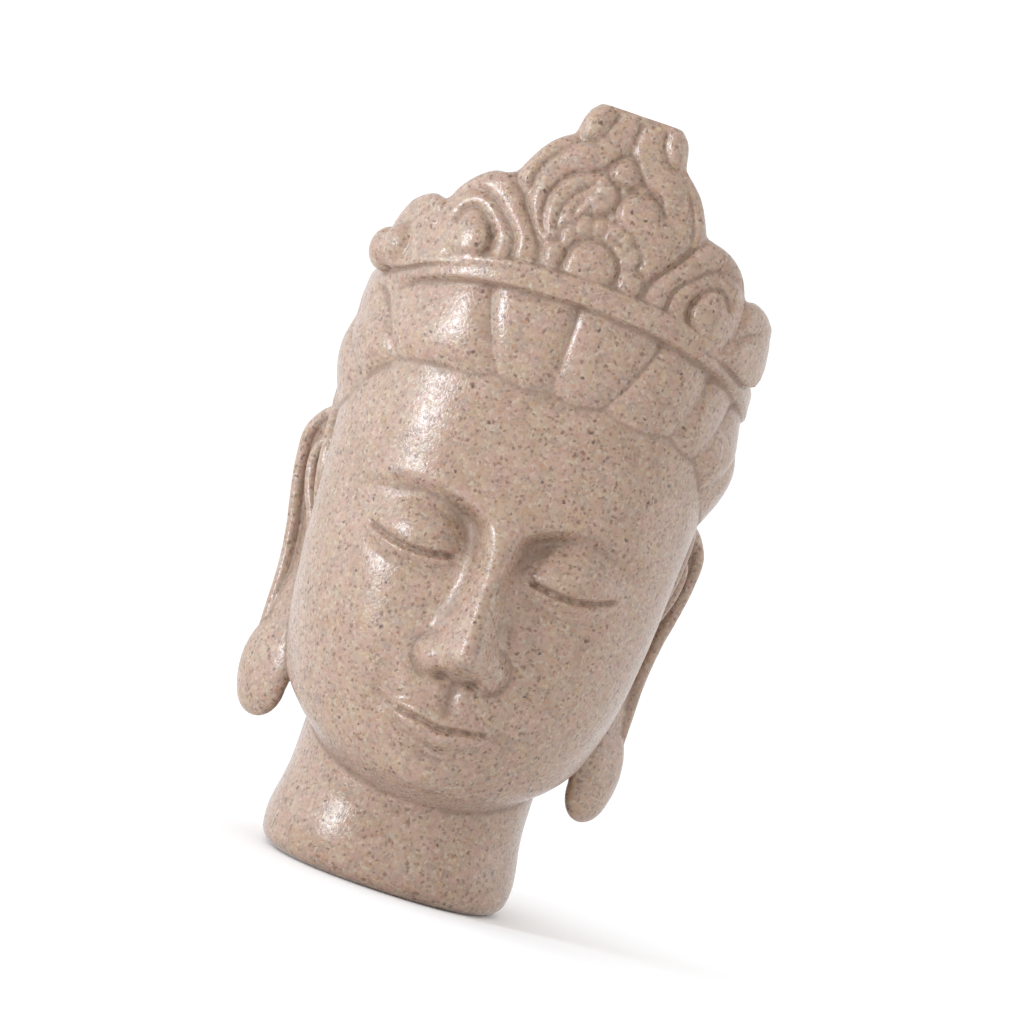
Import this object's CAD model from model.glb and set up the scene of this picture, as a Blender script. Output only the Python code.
import math

import bmesh
import bpy
import numpy as np
from mathutils import Matrix, Vector


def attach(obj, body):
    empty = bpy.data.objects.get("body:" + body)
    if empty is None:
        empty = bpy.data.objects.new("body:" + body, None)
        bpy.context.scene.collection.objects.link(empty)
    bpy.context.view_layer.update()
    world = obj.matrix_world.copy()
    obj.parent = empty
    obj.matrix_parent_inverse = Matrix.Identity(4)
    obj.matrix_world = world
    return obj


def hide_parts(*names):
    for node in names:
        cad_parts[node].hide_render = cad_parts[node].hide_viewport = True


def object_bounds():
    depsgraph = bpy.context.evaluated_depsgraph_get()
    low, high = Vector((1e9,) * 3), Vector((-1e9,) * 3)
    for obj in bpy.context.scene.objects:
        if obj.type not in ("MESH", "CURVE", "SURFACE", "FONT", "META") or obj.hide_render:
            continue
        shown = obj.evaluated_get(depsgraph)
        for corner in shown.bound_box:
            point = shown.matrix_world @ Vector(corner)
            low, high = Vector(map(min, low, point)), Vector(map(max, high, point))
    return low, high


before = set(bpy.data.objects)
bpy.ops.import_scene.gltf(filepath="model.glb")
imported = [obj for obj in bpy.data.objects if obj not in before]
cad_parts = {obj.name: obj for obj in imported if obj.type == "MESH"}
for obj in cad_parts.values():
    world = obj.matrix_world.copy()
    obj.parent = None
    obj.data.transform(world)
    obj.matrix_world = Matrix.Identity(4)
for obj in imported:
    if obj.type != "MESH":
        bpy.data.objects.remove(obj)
cad_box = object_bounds()


# The neck, the skull and the face. The casting begins as a clay head on a slightly waisted neck with
# a rounded foot. Its sections are rounded squares, and the face is raised on the front of them, with
# brow, nose and chin a third of the face apart. Lengths are in millimetres, in the CAD's frame.
METRE = 0.001
HEAD_HEIGHT = 150.0


def through(points):
    """A smooth line through (place, value) pairs, as a function of arrays of places."""
    places, values = np.array(points, float).T
    slopes = np.gradient(values, places)

    def line(at):
        at = np.clip(at, places[0], places[-1])
        i = np.clip(np.searchsorted(places, at) - 1, 0, len(places) - 2)
        gap = places[i + 1] - places[i]
        t = (at - places[i]) / gap
        start = values[i] * (1 + 2 * t) + slopes[i] * gap * t
        end = values[i + 1] * (3 - 2 * t) + slopes[i + 1] * gap * (t - 1)
        return start * (1 - t) ** 2 + end * t ** 2

    return line


def step(low, high, at):
    """0 below low, 1 above high, smooth between."""
    t = np.clip((at - low) / (high - low), 0, 1)
    return t * t * (3 - 2 * t)


def blend_max(a, b, softness):
    """The larger of two values, with a fillet of about this softness where they cross."""
    share = np.clip(0.5 + 0.5 * (a - b) / softness, 0, 1)
    return b * (1 - share) + a * share + softness * share * (1 - share)


def bell(at, middle, spread):
    """1 at the middle, fading softly to both sides."""
    return np.exp(-((at - middle) / spread) ** 2)


def mound(x, z, middle, radii, height):
    """A soft round swelling, or a hollow where height is negative."""
    return height * np.exp(-((x - middle[0]) / radii[0]) ** 2 - ((z - middle[1]) / radii[1]) ** 2)


NECK_HALF_WIDTH = 23.2
NECK_HALF_DEPTH = 23.5
NECK_SQUARENESS = 2.2
NECK_FILLET = 2.5
# The neck fades out inside the head between these heights
NECK_FADE = (45, 75)
FOOT_FLARE = 1.6
FOOT_FLARE_HEIGHT = 6.0
FOOT_FLARE_SPREAD = 7.0
FOOT_ROUNDING = 3.0


def neck_radius(angle, z):
    """The neck at each angle from the front and each height."""
    flare = FOOT_FLARE * bell(z, FOOT_FLARE_HEIGHT, FOOT_FLARE_SPREAD)
    rounding = np.clip(FOOT_ROUNDING - z, 0, FOOT_ROUNDING)
    inset = FOOT_ROUNDING - np.sqrt(FOOT_ROUNDING ** 2 - rounding ** 2)
    n = NECK_SQUARENESS
    side = np.abs(np.sin(angle)) / NECK_HALF_WIDTH
    along = np.abs(np.cos(angle)) / NECK_HALF_DEPTH
    column = (side ** n + along ** n) ** (-1 / n) + flare - inset
    return column * (1 - step(*NECK_FADE, z))


# The skull's half-width and its depth to the front and the back, by height
SIDE = through([(0, 21), (16, 22.5), (22, 25), (30, 29), (42, 33.2), (56, 35.4), (72, 36.2),
                (90, 36.5), (96, 36.3), (104, 35.2), (116, 34.8)])
FRONT = through([(14, 30), (22, 34.0), (30, 35.4), (40, 36.2), (54, 36.6), (68, 37.4), (80, 38.2),
                 (92, 37.8), (104, 37.0), (116, 36.2)])
BACK = through([(0, 21), (18, 21.5), (30, 23.5), (42, 28.5), (54, 34), (68, 37.8), (84, 39.2),
                (98, 38.8), (110, 37), (118, 36)])
SQUARENESS = through([(14, 2.05), (36, 2.15), (60, 2.3), (90, 2.35), (116, 2.25)])
JAW_LOW = through([(0, 15.2), (30, 16), (55, 18.5), (80, 23), (110, 22), (140, 16), (180, 14)])
JAW_FILLET = 11.0
JAW_ROUNDNESS = 2.2
DOME_START = through([(0, 116.8), (25, 115.6), (46, 113.0), (62, 110.5), (82, 108.0), (110, 106.2),
                      (180, 104.6)])
DOME_TOP = 131.5
DOME_ROUNDNESS = 2.4
# The hollow in the head's side in which each ear lies, by angle and height
EAR_BED_MIDDLE = (93.0, 60.0)
EAR_BED_RADII = (14.0, 20.0)
EAR_BED_DEPTH = 4.2


def dome_share(angle, z):
    """How much of the full section is left under the dome: 1 below the headband, 0 at the top."""
    start = DOME_START(np.degrees(np.abs(angle)))
    over = np.clip((z - start) / (DOME_TOP - start), 0, 1)
    return (1 - over ** DOME_ROUNDNESS) ** (1 / DOME_ROUNDNESS)


def skull_radius(angle, z):
    """The head without its carving: an egg with a round jaw below and a dome above."""
    degrees = np.degrees(np.abs(angle))
    n = SQUARENESS(z)
    side = np.abs(np.sin(angle)) / SIDE(z)
    along = np.abs(np.cos(angle)) / np.where(np.cos(angle) > 0, FRONT(z), BACK(z))
    radius = (side ** n + along ** n) ** (-1 / n)
    under = np.clip((JAW_LOW(degrees) + JAW_FILLET - z) / JAW_FILLET, 0, 1)
    jaw = (1 - under ** JAW_ROUNDNESS) ** (1 / JAW_ROUNDNESS)
    bed = mound(degrees, z, EAR_BED_MIDDLE, EAR_BED_RADII, EAR_BED_DEPTH)
    return radius * jaw * dome_share(angle, z) - bed


BROW_HEIGHT = 70.0
BROW_START = 2.0
BROW_LENGTH = 29.0
BROW_ARCH = 5.0
BROW_RIDGE = 0.35
SOCKET_DEPTH = 1.5
SOCKET_CORNER_DEPTH = 1.9


def brow_relief(x, z):
    """The brow's arc with the socket hollowed under it, and the forehead left smooth."""
    share = np.clip((x - BROW_START) / BROW_LENGTH, 0, 1)
    below = BROW_HEIGHT + BROW_ARCH * np.sin(np.pi * share) ** 0.8 - z
    socket = step(-0.4, 2.4, below) * bell(np.maximum(below, 2.4), 2.4, 6.2)
    depth = SOCKET_DEPTH + SOCKET_CORNER_DEPTH * bell(x, 7.0, 5.0)
    ridge = BROW_RIDGE * bell(below, -0.9, 1.5)
    return (ridge - depth * socket) * step(1.5, 6.5, x) * (1 - step(17, 30, x))


EYE_HEIGHT = 64.8
EYE_MIDDLE = 15.4
EYE_HALF = 8.6
EYE_SLANT = 0.55
EYEBALL_RISE = 2.5
LASH_SAG = 1.9
LID_RISE = 0.35
LOWER_LID_RISE = 0.3
LID_LINE_WIDTH = 0.6
LID_LINE_DEPTH = 1.7
LID_CREASE_DEPTH = 0.22
UNDER_LID_DEPTH = 0.25


def eye_relief(x, z):
    """A lowered lid over the round of the eye, its lash line and crease, and the thin lower lid."""
    across = (x - EYE_MIDDLE) / EYE_HALF
    inside = 1 - step(0.82, 1.08, np.abs(across))
    lash = EYE_HEIGHT - LASH_SAG * (1 - np.clip(across ** 2, 0, 1.6)) + EYE_SLANT * across
    above = z - (lash - 0.35 * bell(across, -1.0, 0.22))
    out = np.sqrt((across / 1.22) ** 2 + ((z - EYE_HEIGHT - 0.8) / 7.0) ** 2)
    ball = EYEBALL_RISE * np.clip(1 - out ** 2, 0, 1) ** 1.35
    lid = LID_RISE * step(-0.15, 0.35, above) * bell(np.maximum(above, 0), 0, 2.6)
    lower_lid = LOWER_LID_RISE * bell(above, -1.55, 0.75)
    slit = LID_LINE_DEPTH * bell(above, -0.35, LID_LINE_WIDTH)
    under = UNDER_LID_DEPTH * bell(above, -4.4, 1.6)
    crease = LID_CREASE_DEPTH * bell(out, 0.80, 0.055) * step(0.5, 3.0, z - EYE_HEIGHT)
    return ball + (lid + lower_lid - slit - under) * inside - crease * (1 - step(0.75, 1.0, np.abs(across)))


NOSE_HEIGHT = 42.6
NOSE_RISE = through([(-1.4, 0), (0, 1.6), (1.4, 5.6), (3.0, 8.5), (4.8, 9.5), (7.0, 9.2), (11.6, 7.8),
                     (17, 6.1), (22.4, 4.5), (27, 2.8), (31, 1.1), (35, 0)])
NOSE_HALF = through([(-1.6, 4.6), (2.4, 5.2), (6.4, 5.0), (12.4, 4.0), (19, 3.4), (26, 3.8), (31, 5.6)])
NOSE_ROOT_RISE = 0.9
NOSE_ROOT_SPREAD = 11.0
WING_MIDDLE = (5.0, 3.0)
WING_RADII = (3.8, 4.0)
WING_RISE = 4.5
WING_FILLET = 1.6
WING_CREASE_DEPTH = 0.5
NOSTRIL_MIDDLE = (2.9, 0.0)
NOSTRIL_RADII = (1.5, 0.9)
NOSTRIL_DEPTH = 1.8


def nose_relief(x, z):
    """The bridge and tip, the two wings beside the tip and the nostrils under them."""
    up = z - NOSE_HEIGHT
    bridge = NOSE_RISE(up) * np.exp(-(x / NOSE_HALF(up)) ** 2.3)
    root = NOSE_ROOT_RISE * bell(x, 0, NOSE_ROOT_SPREAD) * step(-1.6, 5, up) * (1 - step(13, 27, up))
    wing_out = np.hypot((x - WING_MIDDLE[0]) / WING_RADII[0], (up - WING_MIDDLE[1]) / WING_RADII[1])
    wing = WING_RISE * np.clip(1 - wing_out ** 2, 0, 1) ** 0.8
    crease = WING_CREASE_DEPTH * bell(wing_out, 1.08, 0.16) * step(4.5, 6.5, x)
    nostril = mound(x, up, NOSTRIL_MIDDLE, NOSTRIL_RADII, NOSTRIL_DEPTH)
    return blend_max(bridge + root, wing, WING_FILLET) - crease - nostril


MOUTH_HEIGHT = 33.8
MOUTH_HALF = 10.4
MOUTH_CURVE = 1.1
LIP_LINE_WIDTH = 0.55
LIP_LINE_DEPTH = 1.5
LIP_BOW_DIP = 0.6
UPPER_LIP_HEIGHT = 3.3
UPPER_LIP_RISE = 1.8
LOWER_LIP_HEIGHT = 3.9
LOWER_LIP_RISE = 2.2
LIP_RIM_RISE = 0.22


def mouth_relief(x, z):
    """Closed lips with a bowed upper edge, and the rim round them."""
    across = np.clip(x / MOUTH_HALF, 0, 1.6)
    full = np.sqrt(np.clip(1 - across ** 2, 0, 1))
    line = MOUTH_HEIGHT + MOUTH_CURVE * across ** 2 - 0.5 * bell(x, 0, 2.2)
    upper = 0.15 + UPPER_LIP_HEIGHT * full ** 1.6 - LIP_BOW_DIP * bell(x, 0, 1.6)
    lower = 0.15 + LOWER_LIP_HEIGHT * np.sqrt(np.clip(1 - (across / 0.93) ** 2, 0, 1))
    above = (z - line) / upper
    below = (line - z) / lower
    upper_lip = UPPER_LIP_RISE * np.clip(1 - np.clip(above, 0, None) ** 1.8, 0, 1) ** 0.8
    lower_lip = LOWER_LIP_RISE * np.clip(1 - ((below - 0.42) / 0.58) ** 2, 0, 1) ** 0.9
    lips = np.where(z >= line, upper_lip, lower_lip) * full ** 0.7
    rim = LIP_RIM_RISE * bell(above, 1.08, 0.14) * full
    return lips + rim - LIP_LINE_DEPTH * bell(z, line, LIP_LINE_WIDTH) * (1 - step(0.88, 1.06, across))


CHIN_HEIGHT = 22.0
# Soft swellings and hollows as a middle (x, z), radii and a height
FACE_MOUNDS = {
    "muzzle": ((0, MOUTH_HEIGHT + 1.2), (13, 9), 2.4),
    "groove over the lip": ((0, MOUTH_HEIGHT + 5.8), (1.25, 2.3), -0.8),
    "rims of that groove": ((2.4, MOUTH_HEIGHT + 5.4), (1.0, 2.3), 0.3),
    "pit beside the lips": ((MOUTH_HALF + 1.2, MOUTH_HEIGHT + 1.3), (2.6, 3.0), -0.6),
    "chin": ((0, CHIN_HEIGHT), (8.0, 5.4), 2.4),
    "hollow under the lip": ((0, MOUTH_HEIGHT - 6.4), (7.0, 1.9), -1.3),
    "cheek": ((18.5, 46), (10, 12), 1.7),
    "cheekbone": ((23, 56), (8, 6), 0.6),
    "fold beside the nose": ((12.3, NOSE_HEIGHT - 2.4), (2.2, 4.5), -0.45),
}


def face_relief(x, z):
    """How far the face stands out from the plain head at each place; both halves alike."""
    x = np.abs(x)
    features = brow_relief(x, z) + eye_relief(x, z) + nose_relief(x, z) + mouth_relief(x, z)
    return features + sum(mound(x, z, *each) for each in FACE_MOUNDS.values())


# The hair and its headband. The hair is combed up from the brow in puffed locks with a narrow
# groove between them, and hangs in wavy locks round the sides and the back. A flat band binds it
# all round, highest over the brow, with a raised lip along its upper edge.
HAIRLINE = through([(0, 96.8), (25, 96.4), (40, 95.4), (52, 92.5), (62, 88), (71, 84), (79, 83),
                    (88, 85), (96, 85.5), (103, 82), (108, 74), (113, 62), (120, 50), (130, 40),
                    (180, 36)])
HAIR_THICKNESS = 2.5
HAIR_RISE = 9.0
# Past this angle, in degrees from the front, the hair rises at this share of its slope
SIDE_HAIR_ANGLE = 58
SIDE_HAIR_SLOPE = 0.62
# Each front groove's x under the band and at the hairline, and the groove above each ear as a path of
# (arc from the middle of the face, z)
LOCK_GROOVES = ((0.0, -0.4), (-15.8, -10.2), (15.8, 9.0), (26.9, 23.2), (-34.2, -28.8), (33.4, 29.8))
LOCK_DEPTH = 1.7
LOCK_SHOULDER = 4.6
EAR_LOCK_DEPTH = 0.9 * LOCK_DEPTH
EAR_LOCK_SHOULDER = 0.8 * LOCK_SHOULDER
LOCK_ROOT = 0.8
LOCK_ROOT_REACH = 1.3
LOCK_TOP = 113.0
LOCK_LENGTH = 17.0
SCALLOP_HEIGHT = 1.6
SCALLOP_DROP = 1.0
SCALLOP_WIDTH = 2.4
SIDE_REACH = 37.0
EAR_LOCK_GROOVE = ((55.0, 103.0), (49.3, 97.4), (44.5, 94.2), (40.2, 91.0), (35.9, 87.0))
EAR_LOCK_SWELL = 1.0
EAR_LOCK_MIDDLE = (76.0, 92.0)
EAR_LOCK_RADII = (24.0, 9.0)
BACK_LOCKS = 26
BACK_LOCK_DEPTH = 0.9
BACK_LOCK_SWAY = 0.9
BACK_LOCK_WAVE = 7.0
STRANDS_TO_A_LOCK = 3
STRAND_DEPTH = 0.22
STRAND_SWAY = 1.1
STRAND_WAVE = 5.0
BAND_LOW = through([(0, 113.6), (25, 112.5), (46, 109.8), (62, 107.3), (82, 104.8), (110, 103),
                    (180, 101.5)])
BAND_HEIGHT = 4.7
BAND_PROUD = 1.3
BAND_EDGE = 0.35
BAND_LIP = 0.6
BAND_LIP_DROP = 0.9
BAND_LIP_WIDTH = 0.75
# At the temples the band loses this share of its thickness, and on the left the hair swells up to it
BAND_FADE = 0.35
BAND_SLOPE = 4.5


def smooth_path(points, per_span=8):
    """Points along a smooth curve through the given ones, with all that they carry."""
    points = np.array(points, float)
    if len(points) < 3:
        return points
    along = np.concatenate([[0], np.cumsum(np.linalg.norm(np.diff(points[:, :3], axis=0), axis=1))])
    at = np.interp(np.linspace(0, len(points) - 1, per_span * (len(points) - 1) + 1),
                   range(len(points)), along)
    return np.stack([through(list(zip(along, column)))(at) for column in points.T], axis=-1)


def from_path(path, x, z):
    """How far each place is from a smooth path."""
    points = smooth_path(path, 4)
    nearest = np.full(x.shape, np.inf)
    for (x_one, z_one), (x_two, z_two) in zip(points, points[1:]):
        along_x, along_z = x_two - x_one, z_two - z_one
        length = max(along_x ** 2 + along_z ** 2, 1e-9)
        share = np.clip(((x - x_one) * along_x + (z - z_one) * along_z) / length, 0, 1)
        aside = np.hypot(x - x_one - share * along_x, z - z_one - share * along_z)
        nearest = np.minimum(nearest, aside)
    return nearest


def groove_profile(aside, shoulder):
    """1 in the bottom of a groove and 0 beyond its round shoulder."""
    inside = np.clip(1 - aside / shoulder, 0, 1)
    return 1 - np.sqrt(1 - inside ** 2)


def hair_relief(angle, x, z):
    """How far the hair and the band stand out from the skull."""
    degrees = np.degrees(np.abs(angle))
    up = z - BAND_LOW(degrees)
    front = step(0.25, 0.45, np.cos(angle))
    beside_face = step(42, 68, degrees)
    temple = beside_face * (1 - step(90, 112, degrees))

    down = np.clip((LOCK_TOP - z) / LOCK_LENGTH, 0, 1.3) ** 1.3
    grooves = np.zeros_like(x)
    scallop = np.zeros_like(x)
    for at_band, at_hairline in LOCK_GROOVES:
        aside = np.abs(x - at_band - (at_hairline - at_band) * down)
        grooves = np.maximum(grooves, groove_profile(aside, LOCK_SHOULDER))
        scallop = np.maximum(scallop, np.exp(-aside / SCALLOP_WIDTH))
    beside = groove_profile(from_path(EAR_LOCK_GROOVE, np.abs(angle) * SIDE_REACH, z), EAR_LOCK_SHOULDER)
    tucked = LOCK_ROOT * np.exp(np.minimum(up, 0) / LOCK_ROOT_REACH) * (1 - beside_face)
    carved = np.maximum(LOCK_DEPTH * grooves * front, EAR_LOCK_DEPTH * beside) + tucked
    carved = carved * (1 - step(-1.0, 0.5, up))

    turn = BACK_LOCKS * angle + BACK_LOCK_SWAY * np.sin(z / BACK_LOCK_WAVE)
    locks = BACK_LOCK_DEPTH * (1 - (0.5 + 0.5 * np.cos(turn)) ** 0.6)
    fine_turn = STRANDS_TO_A_LOCK * turn + STRAND_SWAY * np.sin(z / STRAND_WAVE + 0.7)
    strands = STRAND_DEPTH * (0.5 - 0.5 * np.cos(fine_turn))
    behind = (locks + strands) * (1 - step(-0.25, 0.12, np.cos(angle)))

    edge = HAIRLINE(degrees) + front * (SCALLOP_HEIGHT * scallop - SCALLOP_DROP)
    slope = np.where(degrees > SIDE_HAIR_ANGLE, SIDE_HAIR_SLOPE, 1.0) / HAIR_RISE
    raised = (1 - (1 - np.clip((z - edge) * slope, 0, 1)) ** 2.3) * step(-0.5, 0.7, z - edge)
    swell = mound(degrees, z, EAR_LOCK_MIDDLE, EAR_LOCK_RADII, EAR_LOCK_SWELL)
    hair = raised * (HAIR_THICKNESS + swell - carved - behind)

    ramp = BAND_SLOPE * temple * (angle < 0)
    swollen = np.clip((up + BAND_EDGE + ramp) / (2 * BAND_EDGE + ramp), 0, 1)
    strap = step(0, 1, swollen) * (1 - step(BAND_HEIGHT - BAND_EDGE, BAND_HEIGHT + BAND_EDGE, up))
    lip = BAND_LIP * bell(up, BAND_HEIGHT - BAND_LIP_DROP, BAND_LIP_WIDTH) * (1 - temple)
    return hair + (BAND_PROUD + lip) * strap * (1 - BAND_FADE * temple)


def clay(name, points, faces):
    """A piece of the clay form, from points in millimetres."""
    mesh = bpy.data.meshes.new(name)
    mesh.from_pydata([tuple(METRE * c for c in point) for point in points], [], faces)
    return mesh


# The skin's columns: their even share, and the share that crowds towards the face, by this power
EVEN_COLUMNS = 0.55
CROWDED_COLUMNS = 0.45
CROWDING = 2.4
# Its rings start under the foot and are evenly spaced up to the dome
SKIN_START = -3.0
SKIN_EVEN_TO = 104.0
# The face's relief fades out between these heights and, at the sides, cosines of the angle
FACE_FOOT = (13, 17)
FACE_TOP = (84, 92)
FACE_SIDE = (0.3, 0.6)
HAIR_FOOT = (14, 18)


def head_skin(around=440, rows=560):
    """Neck, face, hair and band as one closed skin of rings."""
    share = np.linspace(-1, 1, around, endpoint=False)
    crowded = np.sign(share) * np.abs(share) ** CROWDING
    angle = math.pi * (EVEN_COLUMNS * share + CROWDED_COLUMNS * crowded)
    dome = (DOME_TOP - SKIN_EVEN_TO) * np.sin(np.linspace(0.01, 1.56, rows // 4))
    heights = np.concatenate([np.linspace(SKIN_START, SKIN_EVEN_TO, rows), SKIN_EVEN_TO + dome])
    angle, z = np.meshgrid(angle, heights)
    radius = skull_radius(angle, z)
    x = radius * np.sin(angle)
    radius = radius + hair_relief(angle, x, z) * dome_share(angle, z) * step(*HAIR_FOOT, z)
    radius = blend_max(radius, neck_radius(angle, z), NECK_FILLET)
    facing = step(*FACE_SIDE, np.cos(angle)) * step(*FACE_FOOT, z) * (1 - step(*FACE_TOP, z))
    x = radius * np.sin(angle)
    y = -radius * np.cos(angle) - face_relief(x, z) * facing
    rings, n = z.shape
    faces = [(j * n + i, j * n + (i + 1) % n, (j + 1) * n + (i + 1) % n, (j + 1) * n + i)
             for j in range(rings - 1) for i in range(n)]
    faces.append(tuple(range(n - 1, -1, -1)))
    faces.append(tuple((rings - 1) * n + i for i in range(n)))
    return clay("head_skin", np.stack([x, y, z], axis=-1).reshape(-1, 3), faces)


skin = head_skin()


# The topknot. The hair is drawn up behind the crown into a round knot: a smooth egg of clay with
# tapering locks laid over it from the tie to the top, and the tie as a roll round its foot.
KNOT_MIDDLE = (0.0, -8.0, 130.5)
KNOT_RADII = (15.5, 20.0, 16.5)
KNOT_LOCKS = 18
KNOT_LOCK_THICKNESS = 2.1
# The locks' middles lie at this share of the knot's radii, up to this angle, and thin to their tips
KNOT_LOCK_SINK = 0.93
KNOT_LOCK_SWEEP = math.radians(84)
KNOT_LOCK_TAPER_FROM = 0.35
KNOT_LOCK_TIP = 0.3
KNOT_TIE_THICKNESS = 2.2
KNOT_TIE_RISE = 1.0
# The tie starts and ends this far from the front, inside the crown
KNOT_TIE_START = 1.0


def node(tree, kind, settings=None, values=None):
    """Adds a node: first its settings, then its sockets, from values or from other nodes' sockets."""
    made = tree.nodes.new(kind)
    for name, value in (settings or {}).items():
        setattr(made, name, value)
    for name, value in (values or {}).items():
        if isinstance(value, bpy.types.NodeSocket):
            tree.links.new(value, made.inputs[name])
        else:
            made.inputs[name].default_value = value
    return made


def start_tree(name, inputs):
    """A tree of geometry nodes with these named inputs, and the sockets they arrive by."""
    tree = bpy.data.node_groups.new(name, "GeometryNodeTree")
    tree.interface.new_socket("Points", in_out="INPUT", socket_type="NodeSocketGeometry")
    for label, kind in inputs.items():
        tree.interface.new_socket(label, in_out="INPUT", socket_type="NodeSocket" + kind)
    tree.interface.new_socket("Form", in_out="OUTPUT", socket_type="NodeSocketGeometry")
    return tree, node(tree, "NodeGroupInput").outputs


def end_tree(tree, form, material):
    """Makes the instances real, gives them the resin and hands the form out."""
    real = node(tree, "GeometryNodeRealizeInstances", values={"Geometry": form})
    dressed = node(tree, "GeometryNodeSetMaterial", values={
        "Geometry": real.outputs[0], "Material": material})
    node(tree, "NodeGroupOutput", values={"Form": dressed.outputs[0]})


def placed(name, data):
    """A new object of this mesh, light or camera in the scene."""
    made = bpy.data.objects.new(name, data)
    bpy.context.collection.objects.link(made)
    return made


def evaluated(piece):
    """The plain mesh that a piece's modifiers make."""
    graph = bpy.context.evaluated_depsgraph_get()
    return bpy.data.meshes.new_from_object(piece.evaluated_get(graph))


def grown(name, mesh, tree, values):
    """The plain mesh that a tree makes from these points and named values."""
    piece = placed(name, mesh)
    grower = piece.modifiers.new(tree.name, "NODES")
    grower.node_group = tree
    for socket in tree.interface.items_tree:
        if socket.name in values:
            grower[socket.identifier] = values[socket.name]
    form = evaluated(piece)
    piece.modifiers.remove(grower)
    bpy.data.objects.remove(piece)
    return form


resin = bpy.data.materials.new("sand_filled_resin")

# Locks set round a standing axis: a quarter arc from the foot to the top, repeated at equal turns,
# then stretched from a unit ball to the knot
lock_tree, given = start_tree("locks_round_a_knot", {
    "Locks": "Int", "Radii": "Vector", "Middle": "Vector", "Thickness": "Float", "Resin": "Material"})
ring = node(lock_tree, "GeometryNodePoints", values={"Count": given["Locks"]})
place = node(lock_tree, "GeometryNodeInputIndex")
turn = node(lock_tree, "ShaderNodeMath", {"operation": "DIVIDE"}, {0: place.outputs[0], 1: given["Locks"]})
turn = node(lock_tree, "ShaderNodeMath", {"operation": "MULTIPLY"}, {0: turn.outputs[0], 1: 2 * math.pi})
about = node(lock_tree, "ShaderNodeCombineXYZ", values={"Z": turn.outputs[0]})
arc = node(lock_tree, "GeometryNodeCurveArc", values={
    "Resolution": 24, "Radius": KNOT_LOCK_SINK, "Start Angle": 0.0, "Sweep Angle": KNOT_LOCK_SWEEP})
upright = node(lock_tree, "GeometryNodeTransform", values={
    "Geometry": arc.outputs[0], "Rotation": (math.pi / 2, 0.0, 0.0)})
wheel = node(lock_tree, "GeometryNodeInstanceOnPoints", values={
    "Points": ring.outputs[0], "Instance": upright.outputs[0], "Rotation": about.outputs[0]})
wheel = node(lock_tree, "GeometryNodeRealizeInstances", values={"Geometry": wheel.outputs[0]})
unit = node(lock_tree, "GeometryNodeInputPosition")
stretched = node(lock_tree, "ShaderNodeVectorMath", {"operation": "MULTIPLY_ADD"}, {
    0: unit.outputs[0], 1: given["Radii"], 2: given["Middle"]})
wheel = node(lock_tree, "GeometryNodeSetPosition", values={
    "Geometry": wheel.outputs[0], "Position": stretched.outputs[0]})
along = node(lock_tree, "GeometryNodeSplineParameter")
taper = node(lock_tree, "ShaderNodeMapRange", values={
    "Value": along.outputs["Factor"], "From Min": KNOT_LOCK_TAPER_FROM, "To Min": 1.0,
    "To Max": KNOT_LOCK_TIP})
thick = node(lock_tree, "ShaderNodeMath", {"operation": "MULTIPLY"}, {
    0: taper.outputs[0], 1: given["Thickness"]})
section = node(lock_tree, "GeometryNodeCurvePrimitiveCircle", values={"Resolution": 12, "Radius": 1.0})
rolls = node(lock_tree, "GeometryNodeCurveToMesh", values={
    "Curve": wheel.outputs[0], "Profile Curve": section.outputs[0], "Scale": thick.outputs[0],
    "Fill Caps": True})
end_tree(lock_tree, rolls.outputs[0], given["Resin"])

knot_locks = grown("knot_locks", bpy.data.meshes.new("knot_locks"), lock_tree, {
    "Locks": KNOT_LOCKS, "Radii": [METRE * r for r in KNOT_RADII],
    "Middle": [METRE * c for c in KNOT_MIDDLE], "Thickness": METRE * KNOT_LOCK_THICKNESS,
    "Resin": resin})


# Rolls laid along paths: the clay's scrolls, ribs and rims. Each point carries its thickness.
roll_tree, given = start_tree("rolls_along_paths", {
    "Fullness": "Float", "Sides": "Int", "Resin": "Material"})
path = node(roll_tree, "GeometryNodeMeshToCurve", values={"Mesh": given["Points"]})
thickness = node(roll_tree, "GeometryNodeInputNamedAttribute", values={"Name": "thickness"})
thick = node(roll_tree, "ShaderNodeMath", {"operation": "MULTIPLY"}, {
    0: thickness.outputs[0], 1: given["Fullness"]})
section = node(roll_tree, "GeometryNodeCurvePrimitiveCircle", values={
    "Resolution": given["Sides"], "Radius": 1.0})
rolls = node(roll_tree, "GeometryNodeCurveToMesh", values={
    "Curve": path.outputs[0], "Profile Curve": section.outputs[0], "Scale": thick.outputs[0],
    "Fill Caps": True})
end_tree(roll_tree, rolls.outputs[0], given["Resin"])


# The rings of a roll's round tip, as angles from its last full section
TIP_RINGS = (0.4, 0.8, 1.15, 1.4)


def round_ended(path):
    """The path with a round tip added at each end."""
    ends = []
    for tip, inner in ((path[0], path[1]), (path[-1], path[-2])):
        out = (tip[:3] - inner[:3]) / np.linalg.norm(tip[:3] - inner[:3])
        ends.append([[*(tip[:3] + out * tip[3] * math.sin(t)), tip[3] * math.cos(t)] for t in TIP_RINGS])
    return np.array(ends[0][::-1] + list(path) + ends[1])


def carry(mesh, name, values):
    """Gives each of a mesh's points a number or a vector to carry, in an attribute of this name."""
    kind, field = ("FLOAT", "value") if values.ndim == 1 else ("FLOAT_VECTOR", "vector")
    mesh.attributes.new(name, kind, "POINT").data.foreach_set(field, values.ravel())


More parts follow.
